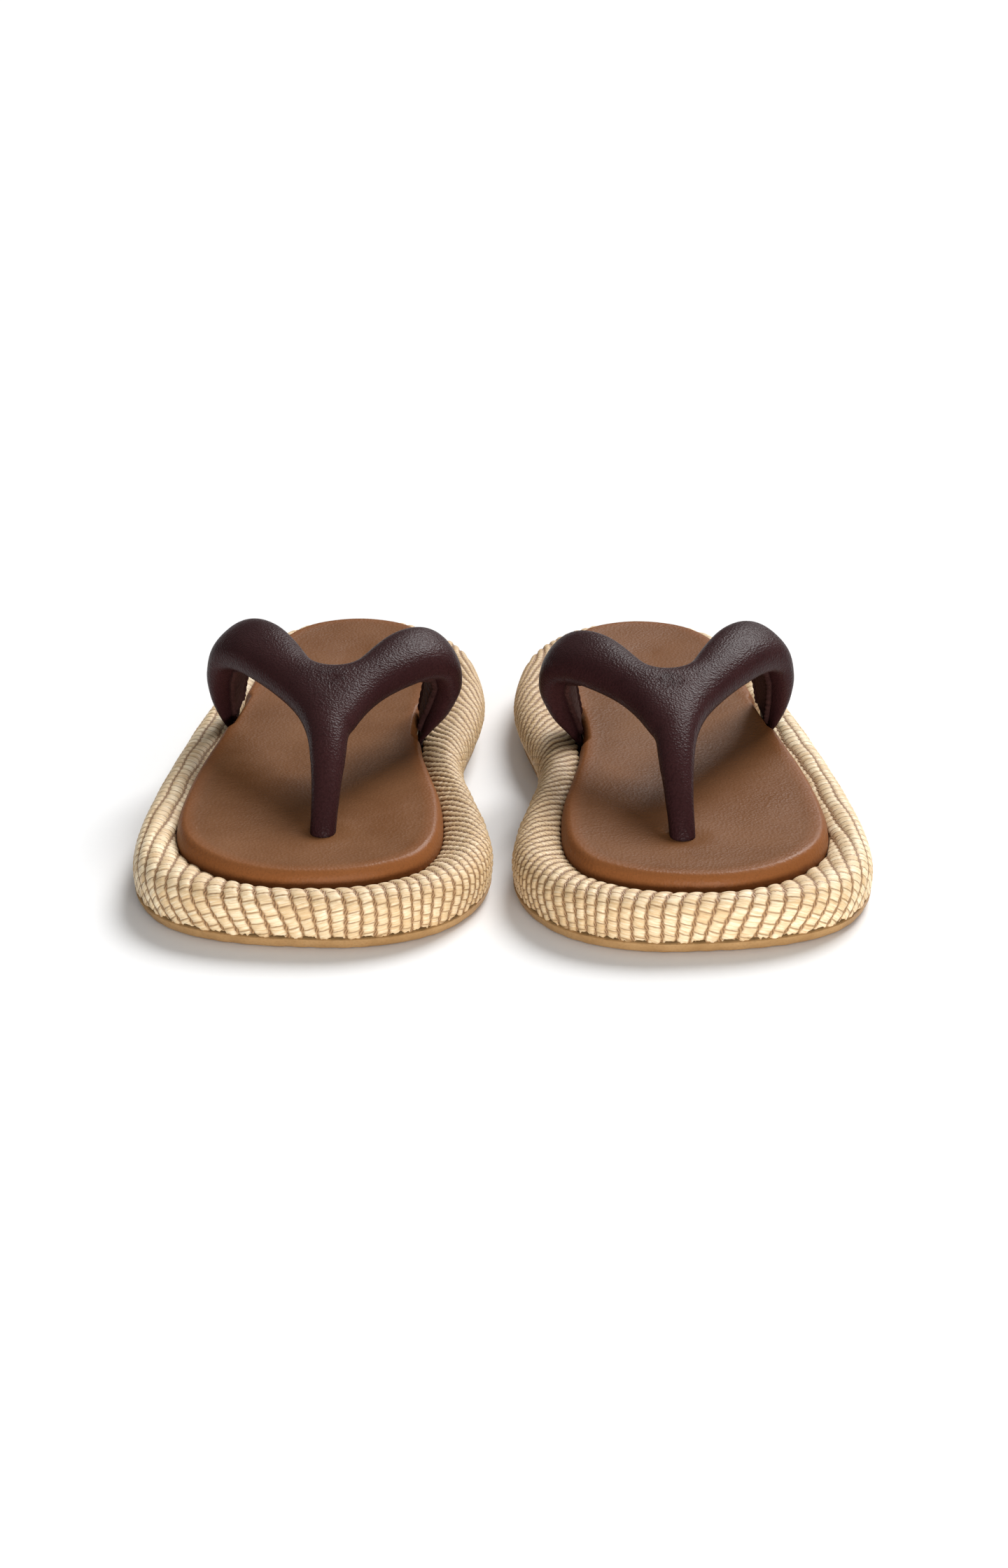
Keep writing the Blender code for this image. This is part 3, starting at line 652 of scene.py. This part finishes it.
# %% Arm stations: centre, outward direction, width, thickness (mm)
LATERAL_ARM = [
    (-37, 21, 15, -1, -0.05, 0, 19, 2.4), (-37.3, 20.8, 18.5, -1, 0.05, 0, 20, 2.8),
    (-37.8, 19.2, 24.5, -1, 0.20, -0.1, 22, 5.5), (-37.9, 16, 33, -1, 0.24, 0.15, 24, 9.5),
    (-36.9, 12, 42, -0.88, 0.16, 0.45, 25, 12), (-32.8, 6.5, 49.8, -0.55, 0.0, 0.8, 25, 14),
    (-25.2, -2.5, 52.6, -0.22, -0.2, 0.95, 24, 14.5), (-15.8, -15.5, 51.8, -0.05, -0.3, 0.95, 21.5, 14.5),
    (-7.0, -28.5, 49.6, 0, -0.35, 0.93, 19, 14.3), (1.0, -41.5, 47, 0, -0.45, 0.9, 17.2, 14),
    (6, -54, 43.5, 0, -0.55, 0.83, 15.5, 13.2), (7.6, -65, 38.3, 0, -0.65, 0.75, 12.6, 11.8),
    (8.1, -74.5, 31.8, 0, -0.8, 0.6, 10.2, 10), (8.2, -81.3, 25.5, 0, -0.9, 0.4, 9, 9),
    (8.1, -85.7, 19.2, 0, -1, 0.2, 8.6, 8.6), (8, -87, 14.4, 0, -1, 0.1, 8.4, 8.4)]
MEDIAL_ARM = [
    (31.3, 14.5, 15, 1, 0.0, 0, 19, 2.4), (31.8, 14.5, 18.5, 1, 0.08, -0.1, 20, 2.8),
    (34.0, 13.2, 24.5, 1, 0.20, -0.3, 22, 5.5), (37.6, 10.5, 33, 1, 0.24, -0.05, 24, 9.5),
    (39.4, 7, 42.3, 0.88, 0.16, 0.45, 25, 12), (36.8, 1.5, 50, 0.55, 0.0, 0.8, 25, 14),
    (30.6, -7, 52.6, 0.22, -0.2, 0.95, 24, 14.5), (23.2, -18, 51.8, 0.05, -0.3, 0.95, 21.5, 14.5),
    (16.2, -29.5, 49.7, 0, -0.35, 0.93, 19, 14.3), (11.2, -41.5, 47.2, 0, -0.45, 0.9, 17.2, 13.8),
    (8.8, -52.5, 44.2, 0, -0.55, 0.83, 14.5, 12)]

WEB = [
    (-18.5, -11, 52.5, 0, -0.3, 0.95, 9, 12.5), (-11.5, -20, 51.6, 0, -0.33, 0.94, 12, 13.8),
    (-4.0, -26.5, 50.6, 0, -0.36, 0.93, 14.5, 14.2), (4.8, -29.4, 50.0, 0, -0.4, 0.92, 15, 14.4),
    (13.7, -27, 50.6, 0, -0.36, 0.93, 14.5, 14.2), (21.0, -21, 51.6, 0, -0.33, 0.94, 12, 13.8),
    (26.6, -12.5, 52.5, 0, -0.3, 0.95, 9, 12.5)]


def arm_frames(stations, t):
    """Centre, width direction, outward direction, width and thickness along an arm."""
    s = smooth_curve(stations, t)
    ahead, behind = smooth_curve(stations, t + 0.04), smooth_curve(stations, t - 0.04)
    run = ahead[:, :3] - behind[:, :3]
    run /= np.linalg.norm(run, axis=1, keepdims=True)
    out = s[:, 3:6] - run * (s[:, 3:6] * run).sum(1, keepdims=True)
    out /= np.linalg.norm(out, axis=1, keepdims=True)
    return s[:, :3], np.cross(run, out), out, s[:, 6], s[:, 7]


def arm_surface(stations, t, angle):
    """Points on the padded surface: a soft D, flatter on the foot side."""
    centre, wide, out, w, h = arm_frames(stations, t)
    ca, sa = np.cos(angle), np.sin(angle)
    x = w / 2 * np.abs(ca) ** 0.85 * np.sign(ca)
    y = h / 2 * np.where(sa < 0, 0.80, 1.0) * np.abs(sa) ** 0.85 * np.sign(sa)
    return centre + wide * x[:, None] + out * y[:, None]


# %% [markdown]
# Nappa is a soft, full-grain leather: nearly black brown, with a low sheen and a fine pebble
# that only shows where light rakes over it. Cells give the pebble, and noise the fine creases.

# %% Dark nappa leather
def nappa(name, dark, light, gloss, pebble):
    leather = Recipe(name, roughness=gloss, Specular_IOR_Level=0.05)
    spot = leather.place()
    pebbles = leather.cells(spot, pebble, 'SMOOTH_F1')
    creases = leather.noise(leather.place((1.0, 1.0, 1.6)), pebble * 0.45, 3.0)
    shade = leather.noise(spot, 30.0, 3.0)
    hue = leather.mix(leather.ramp(shade, 0.0, 1.0, 0.35, 0.65), dark, light)
    hue = leather.mix(leather.ramp(pebbles, 0.0, 0.5, 0.3, 0.7), hue, tuple(c * 0.6 for c in dark))
    feel = leather.bump(creases, 0.00012, 0.25)
    feel = leather.bump(pebbles, 0.00036, 0.62, feel)
    return leather.finish(hue, leather.ramp(creases, gloss - 0.02, gloss + 0.04, 0.35, 0.65), feel)


NAPPA = nappa("dark_nappa", (0.0270, 0.0088, 0.0092), (0.0370, 0.0130, 0.0132), 0.38, 1500.0)
LINING = nappa("lining_leather", (0.030, 0.012, 0.011), (0.052, 0.022, 0.019), 0.50, 700.0)

# %% Roll, fuse and relax the strap
def tube(name, stations, first, last, rings, sides=56):
    obj, col, row = new_grid(name, sides, rings)
    t = first + (last - first) * row / rings
    move_points(obj, arm_surface(stations, t, 2 * pi * col / sides))
    in_edit(obj, weld(0.001), fill_ends, face_out)
    return obj


strap = tube("strap", LATERAL_ARM, 0.0, 15.0, 220)
joining = tube("joining", MEDIAL_ARM, 0.0, 10.0, 150)
web = tube("web", WEB, 0.0, 6.0, 80)
nothing_selected()
for part in (strap, joining, web):
    part.select_set(True)
bpy.context.view_layer.objects.active = strap
bpy.ops.object.join()
VOXEL = 0.85
fuse = strap.modifiers.new("fuse", 'REMESH')
fuse.mode = 'VOXEL'
fuse.voxel_size = VOXEL
bpy.ops.object.modifier_apply(modifier=fuse.name)
co = points_of(strap)
ends_i = np.empty(len(strap.data.edges) * 2, int)
strap.data.edges.foreach_get("vertices", ends_i)
ea, eb = ends_i.reshape(-1, 2).T
count = np.bincount(np.concatenate([ea, eb]), minlength=len(co)).astype(float)
crotch = np.array([5.5, -33.5, 52.0])
melt = np.exp(-((np.linalg.norm((co - crotch) * [0.8, 0.8, 1], axis=1) / 19.0) ** 2))
keep = np.clip((co[:, 2] - 22.0) / 12.0, 0.15, 1.0)


def relax(co, amount):
    total = np.zeros_like(co)
    for k in range(3):
        total[:, k] = np.bincount(ea, co[eb, k], len(co)) + np.bincount(eb, co[ea, k], len(co))
    return co + (total / count[:, None] - co) * amount[:, None]


for _ in range(8):
    co = relax(co, 0.6 * keep)
for _ in range(150):
    co = relax(co, 0.9 * melt)
    co = relax(co, -0.30 * melt)
move_points(strap, co)
in_edit(strap, face_out)
smooth_by(strap, 80)
pair(strap, "strap_leather", NAPPA, hides=["strap_shell", "strap_padding"])

# %% [markdown]
# The foot side of each arm carries a lining strip. Its long edges are folded over and stand up as
# two fine beads, so the strip is a grid whose cross-section is drawn as a thin leaf with a
# round bead at both sides, swept along the arm.

# %% Lining strips
def lining(stations, first, last, rings=120):
    across_n, half = 30, 0.66
    strip, col, row = new_grid("lining", 2 * across_n, rings)
    t = first + (last - first) * row / rings
    centre, wide, out, w, h = arm_frames(stations, t)
    k = col % (2 * across_n)
    front = k <= across_n
    u = np.where(front, k / across_n, (2 * across_n - k) / across_n) * 2 - 1
    bead = np.exp(-((np.abs(u) - 0.90) / 0.07) ** 2)
    groove = np.exp(-((np.abs(u) - 0.74) / 0.05) ** 2)
    side = u * half * w / 2
    drop = (h / 2) * 0.80 * (np.clip(1 - (np.abs(u) * half) ** (1 / 0.85 * 2), 0, 1)) ** 0.45
    taper = np.clip(np.minimum(row / 4.0, (rings - row) / 22.0), 0, 1) ** 0.7
    thick = np.where(front, 0.55 + 1.0 * bead - 0.25 * groove, -0.45) * (0.15 + 0.85 * taper)
    wrinkle = 0.12 * np.sin(row * 0.9 + 2.0 * np.sin(u * 3)) * np.where(front, 1, 0)
    down = drop + 0.35 - 0.9 * (1 - taper) + thick + wrinkle
    move_points(strip, centre + wide * side[:, None] - out * down[:, None])
    in_edit(strip, weld(0.001), fill_ends, face_out)
    smooth_by(strip, 60)
    return strip


pair(lining(LATERAL_ARM, 1.2, 6.7), "lining_lateral", LINING, hides=["strap_lining_lateral"])
pair(lining(MEDIAL_ARM, 1.2, 6.7), "lining_medial", LINING, hides=["strap_lining_medial"])

# %% [markdown]
# ## Hidden layers
# The foam, board, post core and glued strap ends keep their CAD shapes. Only a thin sliver of the
# midsole core shows between the footbed and the woven rim; its foam is painted dark brown, a painted
# shade, so that sliver reads as shadow. The other pieces are seen only when the shoe is taken apart,
# and each gets the finish of what it is made of.

# %% Finishes inside the shoe
def plain(name, low, high, scale, rough, depth):
    inside = Recipe(name, roughness=rough)
    spot = inside.place()
    cloud = inside.noise(spot, scale, 4.0)
    return inside.finish(inside.ramp(cloud, low, high, 0.35, 0.65), None,
                         inside.bump(inside.cells(spot, scale * 3), depth, 0.5))


# painted shade: the platform foam is dark brown so the sliver of midsole core in the rim gap reads as
# shadow
FOAM_PAINTED_AS_SHADE = plain("dark_foam_painted_shade", (0.085, 0.055, 0.032), (0.13, 0.085, 0.05), 400.0, 0.9, 0.0004)
INSIDE = {
    "midsole_core": FOAM_PAINTED_AS_SHADE,
    "insole_board": plain("fibre_board", (0.34, 0.25, 0.17), (0.47, 0.37, 0.26), 500.0, 0.85, 0.0002),
    "footbed_foam": plain("seat_foam", (0.74, 0.66, 0.44), (0.84, 0.78, 0.60), 700.0, 0.9, 0.0005),
    "toe_post_core": plain("post_core", (0.07, 0.05, 0.04), (0.12, 0.09, 0.07), 300.0, 0.6, 0.0001),
    "toe_post_anchor": plain("anchor_disc", (0.05, 0.05, 0.05), (0.09, 0.09, 0.09), 300.0, 0.5, 0.0001),
    "strap_tab_lateral": NAPPA, "strap_tab_medial": NAPPA, "strap_padding": FOAM_PAINTED_AS_SHADE}
for foot in STANDS:
    for part, finish in INSIDE.items():
        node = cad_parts[f"{foot}_{part}"]
        node.data.materials.clear()
        node.data.materials.append(finish)
print("inside pieces painted", len(INSIDE) * 2)

# %% [markdown]
# ## Studio
# The shoes stand on plain white paper. A broad soft light falls from behind and the right, the
# sky is brightest overhead, and a low softbox by the camera fills the front walls. The camera
# looks down on the toes through a long lens.

# %% Floor, light and camera
nothing_selected()
bpy.ops.mesh.primitive_plane_add(size=60.0, location=(0, 0, -0.2 * MM))
floor = bpy.context.object
floor.name = "floor"
paper = Recipe("white_paper", roughness=0.9)
tooth = paper.noise(paper.place(), 400.0, 2.0)
floor.data.materials.append(paper.finish(paper.ramp(tooth, (0.84, 0.84, 0.84), (0.86, 0.86, 0.86))))

world = bpy.data.worlds.new("studio")
bpy.context.scene.world = world
world.use_nodes = True
sky, tree = world.node_tree.nodes["Background"], world.node_tree
look = tree.nodes.new('ShaderNodeTexCoord')
split = tree.nodes.new('ShaderNodeSeparateXYZ')
fade = tree.nodes.new('ShaderNodeMapRange')
fade.interpolation_type = 'SMOOTHSTEP'
for name, value in {"From Min": 0.10, "From Max": 0.62, "To Min": 0.07, "To Max": 0.37}.items():
    fade.inputs[name].default_value = value
tree.links.new(look.outputs["Generated"], split.inputs[0])
tree.links.new(split.outputs[2], fade.inputs[0])
tree.links.new(fade.outputs[0], sky.inputs[1])
sky.inputs[0].default_value = (1.0, 1.0, 1.0, 1.0)


def softbox(name, place, aim, width, height, power):
    light = bpy.data.lights.new(name, 'AREA')
    light.shape = 'RECTANGLE'
    light.size, light.size_y, light.energy = width, height, power
    obj = bpy.data.objects.new(name, light)
    bpy.context.scene.collection.objects.link(obj)
    obj.location = place
    away = (obj.location - type(obj.location)(aim)).to_track_quat('Z', 'Y')
    obj.rotation_euler = away.to_euler()
    return obj


sun = bpy.data.lights.new("ceiling", 'SUN')
sun.energy, sun.angle = 4.0, radians(32)
ceiling = bpy.data.objects.new("ceiling", sun)
bpy.context.scene.collection.objects.link(ceiling)
ceiling.rotation_euler = (radians(-42), radians(27), 0)
softbox("front", (0.30, -1.30, 0.15), (0, 0, 0.03), 0.70, 0.20, 16.0)
bpy.context.scene.view_settings.view_transform = 'Standard'

lens = bpy.data.cameras.new("camera")
lens.sensor_fit = 'HORIZONTAL'
lens.sensor_width = 36.0
lens.lens = 116.175
lens.clip_start, lens.clip_end = 0.05, 50.0
camera = bpy.data.objects.new("camera", lens)
bpy.context.scene.collection.objects.link(camera)
camera.location = (0.0006, -1.066, 0.4457)
camera.rotation_euler = (pi / 2 - 0.394, 0.0, 0.0)
bpy.context.scene.camera = camera
print("camera", round(lens.lens, 1), "mm lens")
